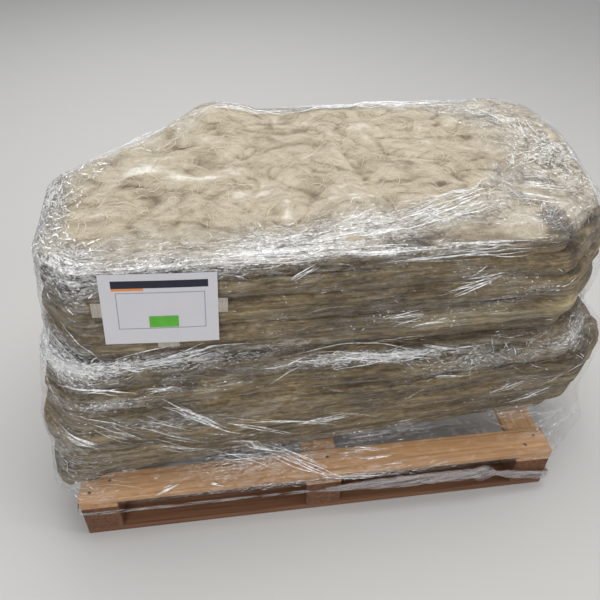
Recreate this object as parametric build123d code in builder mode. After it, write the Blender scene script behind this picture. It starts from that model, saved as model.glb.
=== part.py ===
# Stretch-wrapped pallet load of mineral wool batts, in millimetres.
# X runs along the pallet, the notice side faces -Y, Z is up.
# The origin is on the floor under the middle of the pallet.
from build123d import *
import os
from math import pi, sin

os.makedirs("parts", exist_ok=True)

# Pallet
pallet_length = 1080.0
pallet_depth = 800.0
deck_board_count = 5
row_count = 3
column_count = 3
board_width = 70.0
board_thickness = 15.0
cross_board_width = 80.0
block_height = 82.0
board_arris = 1.2

# Batts, in a lower and an upper bundle of the pile
pile_height = 550.0
batt_edge_share = 0.42
corner_round = 70.0
lower_batt_count = 6
upper_batt_count = 5
shuffle = 5.0
shuffle_turn = 2.4
top_crown = 10.0
top_crown_gap = 6.0
top_crown_slope = 62.0

# Where the two bundles stand, as overhang past the deck's ends and setback from its sides
lower_left_overhang = 50.0
lower_left_swell = 16.0
lower_left_lean = 5.0
lower_right_overhang = 85.0
lower_right_swell = 100.0
lower_right_lean = 9.0
lower_front_setback = 108.0
lower_rear_setback = 100.0
lower_face_swell = 34.0
lower_skew = 38.0
upper_left_overhang = -22.0
upper_right_overhang = 66.0
upper_end_swell = 22.0
upper_front_setback = 78.0
upper_lean = 0.16
waist_front_setback = 96.0
upper_rear_setback = 80.0
upper_rear_swell = 16.0

# Slanting cuts of the pile's four corners, some of them growing from the lowest layer to the top one
front_left_slant = 75.0
front_right_slant_low = 80.0
front_right_slant_high = 135.0
rear_right_slant = 64.0
rear_left_slant_low = 110.0
rear_left_slant_high = 295.0

# Stretch film
film_skin = 3.0
film_clearance = 3.0
film_rest_gap = 0.3
film_deck_gap = 3.0
film_hem_drop = 6.0
film_hem_slant = 2.0
film_hem_round = 1.0
film_lip_rise = 2.0
film_lip_reach = 90.0
film_lip_round = 12.0
film_shoulder_drop = 8.0
film_top_turn = 14.0
film_band_width = 90.0

# Film rope along the front of the pallet
rope_radius = 9.0
rope_gap = 0.3
rope_bend = 9.8
rope_tail = 46.0
rope_left_drop = 20.0
rope_knot_drop = 28.0
rope_right_drop = 70.0
knot_inset = 168.0
knot_radius = 17.0

# Notice with its tape tabs and sticker
notice_width = 210.0
notice_height = 148.0
notice_thickness = 0.6
notice_inset = 234.0
notice_drop = 87.0
notice_tilt = 3.0
tape_thickness = 0.3
tape_gap = 0.1
tape_width = 30.0
tape_reach = 18.0
bottom_tape_length = 38.0
bottom_tape_reach = 12.0
tape_tuck = 12.0
tape_drop = 3.0
bottom_tape_x = 18.0
sticker_width = 50.0
sticker_height = 25.0
sticker_thickness = 0.3
sticker_offset_x = 7.0
sticker_offset_y = -27.0
sticker_corner = 2.0

# Levels worked out from the pallet up
cross_bottom = board_thickness + block_height
deck_bottom = cross_bottom + board_thickness
deck_top = deck_bottom + board_thickness
batt_count = lower_batt_count + upper_batt_count
batt_thickness = pile_height / batt_count
load_top = deck_top + pile_height
half_length = pallet_length / 2
half_depth = pallet_depth / 2

# Places on the pallet and the load
knot_position = half_length - knot_inset
rope_left_height = deck_bottom - rope_left_drop
rope_knot_height = deck_bottom - rope_knot_drop
rope_right_height = deck_bottom - rope_right_drop
notice_centre_x = -half_length + notice_inset
notice_centre_z = load_top - notice_drop


def spread(count, first, last):
    return [first + (last - first) * index / (count - 1) for index in range(count)]


deck_rows = spread(deck_board_count, -half_depth + board_width / 2, half_depth - board_width / 2)
block_rows = spread(row_count, -half_depth + board_width / 2, half_depth - board_width / 2)
block_columns = spread(column_count, -half_length + cross_board_width / 2, half_length - cross_board_width / 2)


def layer_shape(index):
    # ends, front and rear at either end, and the two growing cuts of one layer, from the deck up
    if index < lower_batt_count:
        bulge = sin(pi * (index + 0.5) / lower_batt_count)
        skew = lower_skew * (1 - index / lower_batt_count)
        left = -half_length - lower_left_overhang - lower_left_swell * bulge + lower_left_lean * index
        right = half_length + lower_right_overhang + lower_right_swell * bulge - lower_right_lean * index
        front = -half_depth + lower_front_setback - lower_face_swell * bulge
        rear = half_depth - lower_rear_setback + lower_face_swell * bulge
    else:
        step = index - lower_batt_count
        bulge = sin(pi * (step + 0.5) / upper_batt_count)
        skew = 0
        left = -half_length - upper_left_overhang - upper_end_swell * bulge
        right = half_length + upper_right_overhang + upper_end_swell * bulge
        front = -half_depth + waist_front_setback
        if step > 0:
            front = panel_front(deck_top + (index + 1) * batt_thickness)
        rear = half_depth - upper_rear_setback + upper_rear_swell * bulge
    slide = shuffle * sin(shuffle_turn * index)
    rise = index / (batt_count - 1)
    front_cut = front_right_slant_low + (front_right_slant_high - front_right_slant_low) * rise
    rear_cut = rear_left_slant_low + (rear_left_slant_high - rear_left_slant_low) * rise
    return left + slide, right + slide, front - skew, front + skew, rear - skew, rear + skew, front_cut, rear_cut


def panel_front(height):
    # the flat front of the upper bundle leans back above its second layer
    lean_start = deck_top + (lower_batt_count + 2) * batt_thickness
    return -half_depth + upper_front_setback + upper_lean * (height - lean_start)


def widest_shape(first, second):
    # the shape that just holds two layers
    outermost = (min, max, min, min, max, max, min, min)
    return tuple(pick(pair) for pick, pair in zip(outermost, zip(first, second)))


def load_outline(shape):
    # corner points of a layer, with its four corners cut slanting
    left, right, front_left, front_right, rear_left, rear_right, front_cut, rear_cut = shape
    return [
        (left, front_left + front_left_slant),
        (left + front_left_slant, front_left),
        (right - front_cut, front_right),
        (right, front_right + front_cut),
        (right, rear_right - rear_right_slant),
        (right - rear_right_slant, rear_right),
        (left + rear_cut, rear_left),
        (left, rear_left - rear_cut),
    ]


def deck_outline(left, right, reach):
    # corner points round the deck, whose sides it meets short of the ends and its ends past the reach
    side_end = half_length - film_hem_slant
    return [
        (left, -half_depth + reach),
        (-side_end, -half_depth),
        (side_end, -half_depth),
        (right, -half_depth + reach),
        (right, half_depth - reach),
        (side_end, half_depth),
        (-side_end, half_depth),
        (left, half_depth - reach),
    ]


# Deck boards along the pallet, on three cross boards
for number, row in enumerate(deck_rows, start=1):
    with BuildPart() as deck_board:
        with BuildSketch(Plane.XY.offset(deck_bottom)):
            with Locations((0, row)):
                Rectangle(pallet_length, board_width)
        extrude(amount=board_thickness)
        chamfer(deck_board.edges().filter_by(Axis.X), length=board_arris)
    deck_board.part.label = f"deck_board_{number}"
    export_step(deck_board.part, f"parts/deck_board_{number}.step")

for name, column in zip(("left", "middle", "right"), block_columns):
    with BuildPart() as cross_board:
        with BuildSketch(Plane.XY.offset(cross_bottom)):
            with Locations((column, 0)):
                Rectangle(cross_board_width, pallet_depth)
        extrude(amount=board_thickness)
        chamfer(cross_board.edges().filter_by(Axis.Y), length=board_arris)
    cross_board.part.label = f"cross_board_{name}"
    export_step(cross_board.part, f"parts/cross_board_{name}.step")

for row_name, row in zip(("front", "middle", "rear"), block_rows):
    with BuildPart() as bottom_board:
        with BuildSketch(Plane.XY):
            with Locations((0, row)):
                Rectangle(pallet_length, board_width)
        extrude(amount=board_thickness)
        chamfer(bottom_board.edges().filter_by(Axis.X), length=board_arris)
    bottom_board.part.label = f"bottom_board_{row_name}"
    export_step(bottom_board.part, f"parts/bottom_board_{row_name}.step")

    for column_name, column in zip(("left", "middle", "right"), block_columns):
        with BuildPart() as block:
            with BuildSketch(Plane.XY.offset(board_thickness)):
                with Locations((column, row)):
                    Rectangle(cross_board_width, board_width)
            extrude(amount=block_height)
            chamfer(block.edges().filter_by(Axis.Z), length=board_arris)
        block.part.label = f"block_{row_name}_{column_name}"
        export_step(block.part, f"parts/block_{row_name}_{column_name}.step")

# Batts, soft slabs with rounded edges, laid face to face, the top one puffed up within the film's edge
top_shape = layer_shape(batt_count - 1)
film_edge_inset = film_top_turn + film_band_width
for index in range(batt_count):
    with BuildPart() as batt:
        with BuildSketch(Plane.XY.offset(deck_top + index * batt_thickness)):
            with BuildLine():
                FilletPolyline(*load_outline(layer_shape(index)), radius=corner_round, close=True)
            make_face()
        extrude(amount=batt_thickness)
        fillet(batt.faces().sort_by(Axis.Z)[-1].edges(), radius=batt_edge_share * batt_thickness)
        fillet(batt.faces().sort_by(Axis.Z)[0].edges(), radius=batt_edge_share * batt_thickness)
        if index == batt_count - 1:
            with BuildSketch(Plane.XY.offset(load_top)):
                with BuildLine():
                    Polyline(*load_outline(top_shape), close=True)
                make_face()
                offset(amount=-film_edge_inset - top_crown_gap, mode=Mode.REPLACE)
            extrude(amount=top_crown, taper=top_crown_slope)
    batt.part.label = f"batt_{index + 1:02d}"
    export_step(batt.part, f"parts/batt_{index + 1:02d}.step")


# Stretch film, a thin skin drawn down to the deck and turned over the top
shoulder_height = load_top - film_shoulder_drop
shoulder_gap = film_clearance + top_shape[2] - panel_front(shoulder_height)


def film_rings(rise):
    # height, corner points, corner radius and gap to the load or deck of each ring of the film
    first_left, first_right = layer_shape(0)[:2]
    rings = [
        (
            deck_bottom - film_hem_drop,
            deck_outline(-half_length, half_length, film_hem_slant),
            film_hem_round,
            film_deck_gap,
        ),
        (
            deck_top + film_lip_rise,
            deck_outline(first_left, first_right, film_lip_reach),
            film_lip_round,
            film_deck_gap,
        ),
    ]
    for index in range(1, batt_count):
        outline = load_outline(widest_shape(layer_shape(index - 1), layer_shape(index)))
        rings.append((deck_top + index * batt_thickness, outline, corner_round, film_clearance))
    top_outline = load_outline(top_shape)
    rings.append((shoulder_height, top_outline, corner_round, shoulder_gap))
    rings.append((load_top + film_rest_gap + rise, top_outline, corner_round, -film_top_turn))
    return rings


with BuildPart() as stretch_film:
    for skin, mode in ((film_skin, Mode.ADD), (0.0, Mode.SUBTRACT)):
        for height, outline, radius, gap in film_rings(skin):
            with BuildSketch(Plane.XY.offset(height)):
                with BuildLine():
                    FilletPolyline(*outline, radius=radius, close=True)
                make_face()
                offset(amount=gap + skin, mode=Mode.REPLACE)
        loft(ruled=True, mode=mode)
    with BuildSketch(Plane.XY.offset(load_top)):
        with BuildLine():
            Polyline(*load_outline(top_shape), close=True)
        make_face()
        offset(amount=-film_edge_inset, mode=Mode.REPLACE)
    extrude(amount=2 * film_skin, mode=Mode.SUBTRACT)
stretch_film.part.label = "stretch_film"
export_step(stretch_film.part, "parts/stretch_film.step")

# Film rope, tied round the front corner blocks with a knot on the way
rope_line = half_depth + rope_gap + rope_radius
rope_end = half_length + rope_gap + rope_radius
tail_line = half_depth - rope_tail
with BuildPart() as film_rope:
    with BuildLine() as rope_path:
        FilletPolyline(
            (-rope_end, -tail_line, rope_left_height),
            (-rope_end, -rope_line, rope_left_height),
            (knot_position, -rope_line, rope_knot_height),
            (rope_end, -rope_line, rope_right_height),
            (rope_end, -tail_line, rope_right_height),
            radius=rope_bend,
        )
    with BuildSketch(Plane(rope_path.line @ 0, z_dir=rope_path.line % 0)):
        Circle(rope_radius)
    sweep()
    with BuildSketch(Plane.XZ.offset(rope_line)):
        with Locations((knot_position, rope_knot_height)):
            Circle(knot_radius)
            Rectangle(3 * knot_radius, 2 * knot_radius, mode=Mode.INTERSECT, align=(Align.CENTER, Align.MIN))
    revolve(axis=Axis((knot_position, -rope_line, rope_knot_height), (1, 0, 0)))
film_rope.part.label = "film_rope"
export_step(film_rope.part, "parts/film_rope.step")

# Notice on the front of the film, held by tape tabs behind it
notice_y = panel_front(notice_centre_z) - film_clearance - film_skin
panel_out = Vector(0, -1, upper_lean).normalized()
sheet_right = Vector(1, 0, 0).rotate(Axis((0, 0, 0), panel_out), -notice_tilt)
panel = Plane(origin=(notice_centre_x, notice_y, notice_centre_z), x_dir=sheet_right, z_dir=panel_out)
sheet_level = tape_gap + tape_thickness

with BuildPart() as notice_sheet:
    with BuildSketch(panel.offset(sheet_level)):
        Rectangle(notice_width, notice_height)
    extrude(amount=notice_thickness)
notice_sheet.part.label = "notice_sheet"
export_step(notice_sheet.part, "parts/notice_sheet.step")

with BuildPart() as price_sticker:
    with BuildSketch(panel.offset(sheet_level + notice_thickness)):
        with Locations((sticker_offset_x, sticker_offset_y)):
            RectangleRounded(sticker_width, sticker_height, sticker_corner)
    extrude(amount=sticker_thickness)
price_sticker.part.label = "price_sticker"
export_step(price_sticker.part, "parts/price_sticker.step")

side_tape = tape_reach + tape_tuck
foot_tape = bottom_tape_reach + tape_tuck
side_tape_x = notice_width / 2 + tape_reach - side_tape / 2
foot_tape_y = notice_height / 2 + bottom_tape_reach - foot_tape / 2
tape_places = {
    "left": (-side_tape_x, -tape_drop, side_tape, tape_width),
    "right": (side_tape_x, tape_drop, side_tape, tape_width),
    "bottom": (bottom_tape_x, -foot_tape_y, bottom_tape_length, foot_tape),
}
for name, (across, up, wide, high) in tape_places.items():
    with BuildPart() as tape_tab:
        with BuildSketch(panel.offset(tape_gap)):
            with Locations((across, up)):
                Rectangle(wide, high)
        extrude(amount=tape_thickness)
    tape_tab.part.label = f"tape_tab_{name}"
    export_step(tape_tab.part, f"parts/tape_tab_{name}.step")
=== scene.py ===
import math
import random
import bpy
import numpy as np
from mathutils import Matrix, Vector, noise
from mathutils.bvhtree import BVHTree


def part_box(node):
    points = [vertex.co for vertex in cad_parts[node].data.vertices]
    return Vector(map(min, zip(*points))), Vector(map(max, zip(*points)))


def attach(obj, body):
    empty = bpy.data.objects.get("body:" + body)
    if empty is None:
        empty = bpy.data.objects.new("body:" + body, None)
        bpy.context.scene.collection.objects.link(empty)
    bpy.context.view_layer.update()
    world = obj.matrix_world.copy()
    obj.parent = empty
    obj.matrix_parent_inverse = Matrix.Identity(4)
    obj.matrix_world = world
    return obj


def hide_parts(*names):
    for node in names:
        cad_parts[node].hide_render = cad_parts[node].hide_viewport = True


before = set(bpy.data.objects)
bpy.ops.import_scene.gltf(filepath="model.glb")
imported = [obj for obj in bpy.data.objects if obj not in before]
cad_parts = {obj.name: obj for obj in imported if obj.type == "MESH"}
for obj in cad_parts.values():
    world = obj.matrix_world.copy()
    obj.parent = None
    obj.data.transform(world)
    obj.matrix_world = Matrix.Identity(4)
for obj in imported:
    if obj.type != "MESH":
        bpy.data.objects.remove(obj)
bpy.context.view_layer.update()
print("frame loaded")


# Helpers

def linear(hexColour):
    # an sRGB hex colour as the linear one that shaders take
    parts = [int(hexColour[i:i + 2], 16) / 255 for i in (1, 3, 5)]
    return tuple(c / 12.92 if c <= 0.04045 else ((c + 0.055) / 1.055) ** 2.4 for c in parts) + (1.0,)


def addNode(tree, kind, settings=None, links=None):
    node = tree.nodes.new(kind)
    for name, value in (settings or {}).items():
        if isinstance(name, int) or name in node.inputs:
            node.inputs[name].default_value = value
        else:
            setattr(node, name, value)
    for name, source in (links or {}).items():
        tree.links.new(source, node.inputs[name])
    return node


def addRamp(tree, source, stops):
    # stops are (position, hex colour or grey value)
    ramp = addNode(tree, "ShaderNodeValToRGB", links={"Fac": source})
    elements = ramp.color_ramp.elements
    while len(elements) < len(stops):
        elements.new(0.5)
    for element, (position, colour) in zip(elements, stops):
        element.position = position
        element.color = linear(colour) if isinstance(colour, str) else (colour, colour, colour, 1.0)
    return ramp.outputs["Color"]


def newMaterial(name):
    material = bpy.data.materials.new(name)
    material.use_nodes = True
    material.node_tree.nodes.clear()
    return material, material.node_tree


def finishMaterial(tree, settings, links):
    shader = addNode(tree, "ShaderNodeBsdfPrincipled", settings, links)
    addNode(tree, "ShaderNodeOutputMaterial", links={"Surface": shader.outputs["BSDF"]})


def objectPlace(tree):
    return addNode(tree, "ShaderNodeTexCoord").outputs["Object"]


def pattern(tree, source, scale, detail=4.0, rough=0.55, distortion=0.0, offset=0.0):
    # noise over object coordinates in metres, with a scale along each axis
    place = addNode(tree, "ShaderNodeMapping", {"Scale": scale, "Location": (offset, offset, offset)},
                    {"Vector": source})
    return addNode(tree, "ShaderNodeTexNoise",
                   {"Scale": 1.0, "Detail": detail, "Roughness": rough, "Distortion": distortion},
                   {"Vector": place.outputs["Vector"]}).outputs["Fac"]


def mixColour(tree, factor, first, second, blend="MIX"):
    node = addNode(tree, "ShaderNodeMix", {"data_type": "RGBA", "blend_type": blend})
    for index, value in ((0, factor), (6, first), (7, second)):
        if isinstance(value, (int, float)):
            node.inputs[index].default_value = value
        elif isinstance(value, str):
            node.inputs[index].default_value = linear(value)
        else:
            tree.links.new(value, node.inputs[index])
    return node.outputs[2]


def maths(tree, operation, first, second=0.0, third=0.0):
    node = addNode(tree, "ShaderNodeMath", {"operation": operation})
    for index, value in enumerate((first, second, third)):
        if isinstance(value, (int, float)):
            node.inputs[index].default_value = value
        else:
            tree.links.new(value, node.inputs[index])
    return node.outputs[0]


def times(tree, first, second):
    return maths(tree, "MULTIPLY", first, second)


def plus(tree, first, second):
    return maths(tree, "ADD", first, second)


def timesPlus(tree, first, second, third):
    return maths(tree, "MULTIPLY_ADD", first, second, third)


def bump(tree, height, distance, strength=1.0, normal=None):
    links = {"Height": height}
    if normal is not None:
        links["Normal"] = normal
    node = addNode(tree, "ShaderNodeBump", {"Distance": distance, "Strength": strength}, links)
    return node.outputs["Normal"]


def shaded(tree, colour, amount, source, stops):
    # a colour multiplied by a ramp of greys
    return mixColour(tree, amount, colour, addRamp(tree, source, stops), "MULTIPLY")


def speckledMaterial(name, scale, rough, stops, settings, relief=None):
    # one noise for its colour and relief
    material, tree = newMaterial(name)
    tone = pattern(tree, objectPlace(tree), scale, 3.0, rough)
    links = {"Base Color": addRamp(tree, tone, stops)}
    if relief:
        links["Normal"] = bump(tree, tone, *relief)
    finishMaterial(tree, {"IOR": 1.5, **settings}, links)
    return material


def addPiece(name, points, faces, materials, smooth=True, faceMaterials=None):
    mesh = bpy.data.meshes.new(name)
    mesh.from_pydata([tuple(p) for p in points], [], [tuple(int(i) for i in f) for f in faces])
    for material in materials:
        mesh.materials.append(material)
    if faceMaterials is not None:
        mesh.polygons.foreach_set("material_index", faceMaterials)
    mesh.polygons.foreach_set("use_smooth", [smooth] * len(mesh.polygons))
    mesh.update()
    piece = bpy.data.objects.new(name, mesh)
    bpy.context.scene.collection.objects.link(piece)
    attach(piece, "root")
    return piece


def ringFaces(start, count, rows):
    # quads between closed rings of points
    faces = []
    for j in range(rows):
        for i in range(count):
            a, b = start + j * count + i, start + j * count + (i + 1) % count
            faces.append((a, b, b + count, a + count))
    return faces


def smoothStep(low, high, value):
    t = np.clip((value - low) / (high - low), 0.0, 1.0)
    return t * t * (3 - 2 * t)


def noiseAt(x, y, z):
    return noise.noise(Vector((x, y, z)))


# Camera, floor and soft light

cameraPlace = {"at": (-0.1767, -1.2277, 1.3711), "turn": 0.140, "down": 0.709, "roll": 0.011,
               "lens": 644.5 / 600}


def addCamera():
    data = bpy.data.cameras.new("camera")
    camera = bpy.data.objects.new("camera", data)
    bpy.context.scene.collection.objects.link(camera)
    turn, down, roll = (cameraPlace[key] for key in ("turn", "down", "roll"))
    ahead = Vector((math.sin(turn) * math.cos(down), math.cos(turn) * math.cos(down), -math.sin(down)))
    right = Vector((math.cos(turn), -math.sin(turn), 0))
    up = right.cross(ahead)
    right2 = right * math.cos(roll) + up * math.sin(roll)
    up2 = right2.cross(ahead)
    camera.matrix_world = Matrix((
        (right2.x, up2.x, -ahead.x, cameraPlace["at"][0]),
        (right2.y, up2.y, -ahead.y, cameraPlace["at"][1]),
        (right2.z, up2.z, -ahead.z, cameraPlace["at"][2]),
        (0, 0, 0, 1),
    ))
    data.lens = cameraPlace["lens"] * data.sensor_width
    data.clip_start = 0.02
    bpy.context.scene.camera = camera


def addLamp(name, place, target, size, power, colour="#FFFFFF"):
    data = bpy.data.lights.new(name, "AREA")
    data.shape = "RECTANGLE"
    data.size, data.size_y = size
    data.energy = power
    data.color = linear(colour)[:3]
    lamp = bpy.data.objects.new(name, data)
    bpy.context.scene.collection.objects.link(lamp)
    lamp.location = place
    lamp.rotation_euler = (Vector(target) - Vector(place)).to_track_quat("-Z", "Y").to_euler()


def addStage():
    world = bpy.data.worlds.new("studio")
    world.use_nodes = True
    world.node_tree.nodes["Background"].inputs["Color"].default_value = linear("#DADCDF")
    world.node_tree.nodes["Background"].inputs["Strength"].default_value = 0.55
    bpy.context.scene.world = world
    bpy.context.scene.view_settings.view_transform = "Standard"
    material, tree = newMaterial("floorPaint")
    finishMaterial(tree, {"Base Color": linear("#C9C8C6"), "Roughness": 0.75}, {})
    mesh = bpy.data.meshes.new("floor")
    mesh.from_pydata([(-9, -9, 0), (9, -9, 0), (9, 9, 0), (-9, 9, 0)], [], [(0, 1, 2, 3)])
    mesh.materials.append(material)
    floor = bpy.data.objects.new("floor", mesh)
    bpy.context.scene.collection.objects.link(floor)
    addLamp("softbox_over", (0.3, 0.4, 3.2), (0, 0, 0.3), (3.0, 1.6), 58, "#FFFDF8")
    addLamp("softbox_front", (-1.2, -3.2, 2.6), (0, 0, 0.35), (1.8, 0.9), 52, "#FFFFFF")
    addLamp("strip_right", (3.0, -1.4, 2.2), (0, 0, 0.35), (0.35, 2.4), 20, "#FFFFFF")
    addLamp("strip_rear", (-0.6, 3.2, 2.4), (0, 0, 0.5), (2.6, 0.4), 24, "#FFFFFF")


addCamera()
addStage()
print("camera and light placed")


# Pallet wood: sawn softwood, plain tan with dark resin streaks and rough sawn faces

def sawnSoftwood(name, along, tones, knots, seed, rough=0.72):
    # growth rings show about every 4 mm, drawn as streaks along the grain
    material, tree = newMaterial(name)
    place = objectPlace(tree)
    grain = tuple(3.0 if axis == along else 120.0 for axis in range(3))
    broad = tuple(1.2 if axis == along else 26.0 for axis in range(3))
    fine = tuple(14.0 if axis == along else 700.0 for axis in range(3))
    streak = pattern(tree, place, grain, 5.0, 0.6, 0.6, seed)
    stain = pattern(tree, place, broad, 3.0, 0.5, 0.3, seed + 3)
    fibre = pattern(tree, place, fine, 2.0, 0.5, 0.0, seed + 7)
    base = addRamp(tree, streak, [(0.30, tones[0]), (0.48, tones[1]), (0.70, tones[2])])
    colour = shaded(tree, base, 0.75, stain, [(0.35, 0.72), (0.62, 1.0)])
    spot = addNode(tree, "ShaderNodeTexVoronoi", {"Scale": knots, "Randomness": 1.0}, {"Vector": place})
    colour = shaded(tree, colour, 0.8, spot.outputs["Distance"], [(0.0, 0.25), (0.05, 0.55), (0.09, 1.0)])
    normal = bump(tree, fibre, 0.0006, 0.6)
    normal = bump(tree, streak, 0.0012, 0.5, normal)
    finishMaterial(tree, {"Roughness": rough, "IOR": 1.5}, {"Base Color": colour, "Normal": normal})
    return material


woodTones = {
    "deck": ("#AC7E50", "#C69666", "#D4A678"),
    # bottom boards: darker and redder than the deck boards
    "bottom": ("#5E3E2A", "#765038", "#8C6446"),
    # the blocks' dark tones are painted shade of the hollow under the deck
    "block": ("#4A3020", "#6B4630", "#84583A"),
}


def dressPallet():
    kinds = {
        "deck_board": sawnSoftwood("sawnSpruceDeck", 0, woodTones["deck"], 3.1, 1.0),
        "cross_board": sawnSoftwood("sawnSpruceCross", 1, woodTones["deck"], 2.7, 5.0),
        "bottom_board": sawnSoftwood("darkSpruceBottom", 0, woodTones["bottom"], 2.3, 9.0),
        "block": sawnSoftwood("spruceBlockPaintedShade", 1, woodTones["block"], 3.7, 13.0),
    }
    for name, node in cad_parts.items():
        for start, material in kinds.items():
            if name.startswith(start):
                node.data.materials.clear()
                node.data.materials.append(material)
                for slot in node.material_slots:
                    slot.material = material


nailLayout = {"radius": 0.0040, "height": 0.0006, "inset": 0.018, "sides": 10}


def addNails():
    # two nails where each deck board crosses each cross board
    points, faces = [], []
    rng = random.Random(11)
    steel, tree = newMaterial("drivenSteelNail")  # dark, slightly rusty heads
    finishMaterial(tree, {"Base Color": linear("#5A4330"), "Metallic": 0.5, "Roughness": 0.6}, {})
    for board in range(1, 6):
        low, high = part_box(f"deck_board_{board}")
        for cross in ("left", "middle", "right"):
            crossLow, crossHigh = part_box(f"cross_board_{cross}")
            for side in (-1, 1):
                x = (crossLow.x + crossHigh.x) / 2 + side * nailLayout["inset"] + rng.uniform(-0.006, 0.006)
                y = (low.y + high.y) / 2 + side * nailLayout["inset"] * 0.8 + rng.uniform(-0.005, 0.005)
                start = len(points)
                for radius, level in ((1.0, -0.0006), (1.0, 0.5), (0.75, 1.0)):
                    for i in range(nailLayout["sides"]):
                        a = 2 * math.pi * i / nailLayout["sides"]
                        points.append((x + math.cos(a) * radius * nailLayout["radius"],
                                       y + math.sin(a) * radius * nailLayout["radius"],
                                       high.z + level * nailLayout["height"]))
                n = nailLayout["sides"]
                faces += ringFaces(start, n, 2) + [tuple(start + 2 * n + i for i in range(n))]
    addPiece("deck_nails", points, faces, [steel])


dressPallet()
addNails()
print("pallet dressed")


# The pile: each layer's outline comes from its CAD slab

# the lowest layer droops past the deck's left end, over a span of x; seamShade is the painted shade of the
# seams, tone lost per metre of depth
pile = {"columns": 900, "rows": 12, "topRows": 6, "topRings": 56, "edgeInset": 0.004, "seamInset": 0.006,
        "bulge": 0.008, "droop": 0.042, "droopSpan": (0.530, 0.560), "topRound": 0.030, "seamShade": 90}
layerNames = [f"batt_{i:02d}" for i in range(1, 12)]
layerBoxes = [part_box(name) for name in layerNames]
deckTop = layerBoxes[0][0].z
layerThickness = layerBoxes[0][1].z - deckTop
loadTop = deckTop + layerThickness * len(layerNames)


def hullOf(places):
    # convex outline, anticlockwise
    places = sorted(set(places))

    def half(run):
        kept = []
        for p in run:
            while len(kept) > 1:
                (ax, ay), (bx, by) = kept[-2], kept[-1]
                if (bx - ax) * (p[1] - ay) - (by - ay) * (p[0] - ax) > 0:
                    break
                kept.pop()
            kept.append(p)
        return kept[:-1]

    return half(places) + half(places[::-1])


def ringAt(name, height, reach, count):
    # evenly spaced points round a CAD node at one height, anticlockwise from the front middle, in two halves
    found = [(round(v.co.x, 5), round(v.co.y, 5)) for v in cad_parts[name].data.vertices
             if abs(v.co.z - height) < reach]
    ring = np.array(hullOf(found))
    ring = np.vstack([ring, ring[:1]])
    cuts = []
    for low, high in zip(ring[:-1], ring[1:]):
        cuts.append(low)
        if low[0] * high[0] < 0:
            cuts.append(low + (high - low) * (-low[0] / (high[0] - low[0])))
    ring = np.array(cuts)
    middles = np.nonzero(np.abs(ring[:, 0]) < 1e-9)[0]
    front, rear = sorted(middles, key=lambda i: ring[i, 1])[:: len(middles) - 1]
    ring = np.roll(ring, -front, axis=0)
    rear = (rear - front) % len(ring)
    halves = []
    for half in (ring[:rear + 1], np.vstack([ring[rear:], ring[:1]])):
        total = np.concatenate([[0], np.cumsum(np.hypot(*np.diff(half, axis=0).T))])
        places = np.arange(count // 2) / (count // 2) * total[-1]
        halves.append(np.stack([np.interp(places, total, half[:, axis]) for axis in (0, 1)], axis=1))
    return np.vstack(halves)


def outward(outline):
    # unit normals of a closed anticlockwise outline, smoothed over a few points
    step = 5
    ahead = np.roll(outline, -step, axis=0) - np.roll(outline, step, axis=0)
    normal = np.stack([ahead[:, 1], -ahead[:, 0]], axis=1)
    return normal / np.linalg.norm(normal, axis=1, keepdims=True)


outlines = [ringAt(name, deckTop + layerThickness * (index + 0.5), 0.006, pile["columns"])
            for index, name in enumerate(layerNames)]
normals = [outward(outline) for outline in outlines]


def topInset(x, y):
    # how far a place lies in from the top layer's edge
    far = (np.array((x, y)) - outlines[-1][::10]) * normals[-1][::10]
    return -far.sum(axis=1).max()


# billowing down on top: rise within the film's edge and where it starts and ends, place, reach and height
# of its hump, then the size of its clumps, locks and curls per metre
down = {"crown": (0.009, 0.075, 0.150), "hump": ((-0.185, 0.285), (0.105, 0.10), 0.032),
        "clumps": 7.0, "locks": 16.0, "curls": 37.0}


def billow(x, y):
    # rounded clumps with creases between them; the second value is how deep in a crease the point lies
    wx = noiseAt(x * 6, y * 6, 1.7)
    wy = noiseAt(x * 6, y * 6, 8.3)
    clump = abs(noiseAt(x * down["clumps"] + wx * 0.9, y * down["clumps"] * 1.25 + wy * 0.9, 3.1))
    lock = abs(noiseAt(x * down["locks"] + wx * 2.4, y * down["locks"] * 1.2 + wy * 2.4, 5.9))
    curl = abs(noiseAt(x * down["curls"] + wx * 5, y * down["curls"] + wy * 5, 12.4))
    height = 0.016 * min(clump, 0.45) + 0.008 * min(lock, 0.4) + 0.0030 * curl - 0.005
    crease = max(0, 1 - clump / 0.07) * 0.8 + max(0, 1 - lock / 0.06) * 0.5 + max(0, 1 - curl / 0.08) * 0.2
    return height, crease


def topRelief(x, y):
    (hx, hy), (rx, ry), tall = down["hump"]
    rise, start, full = down["crown"]
    puffed = rise * float(smoothStep(start, full, topInset(x, y)))
    return puffed + tall * math.exp(-(((x - hx) / rx) ** 2 + ((y - hy) / ry) ** 2)) + billow(x, y)[0]


def seamShift(x, y, level):
    # how far a layer boundary wanders up or down
    if level == 0:
        return 0.0
    if level == len(layerNames):
        return topRelief(x, y)
    return 0.013 * noiseAt(x * 2.3, y * 2.3, level * 0.9) + 0.005 * noiseAt(x * 9, y * 9, level * 3.1)


# seams that gape: layer boundary, where it is widest, its reach along the pile and how much it gapes
gapingSeams = [(6, (-0.45, -0.30), 0.9, 1.2), (6, (0.60, 0.0), 0.9, 1.4), (8, (0.40, -0.33), 0.22, 1.3),
               (8, (0.12, -0.33), 0.10, 0.8), (3, (0.30, -0.34), 0.20, 0.5), (4, (0.62, -0.1), 0.25, 1.2),
               (9, (0.55, 0.1), 0.3, 0.8), (5, (-0.1, 0.33), 0.5, 0.8)]


def seamDepth(x, y, level):
    open = 0.18 + 1.1 * noiseAt(x * 2.6 + level * 5.3, y * 2.6, level * 7.7)
    open = min(max(open, 0.0), 1.1)
    for seam, (sx, sy), reach, gape in gapingSeams:
        if seam == level:
            open += gape * math.exp(-((x - sx) ** 2 + (y - sy) ** 2) / reach ** 2)
    return pile["seamInset"] * open
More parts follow.
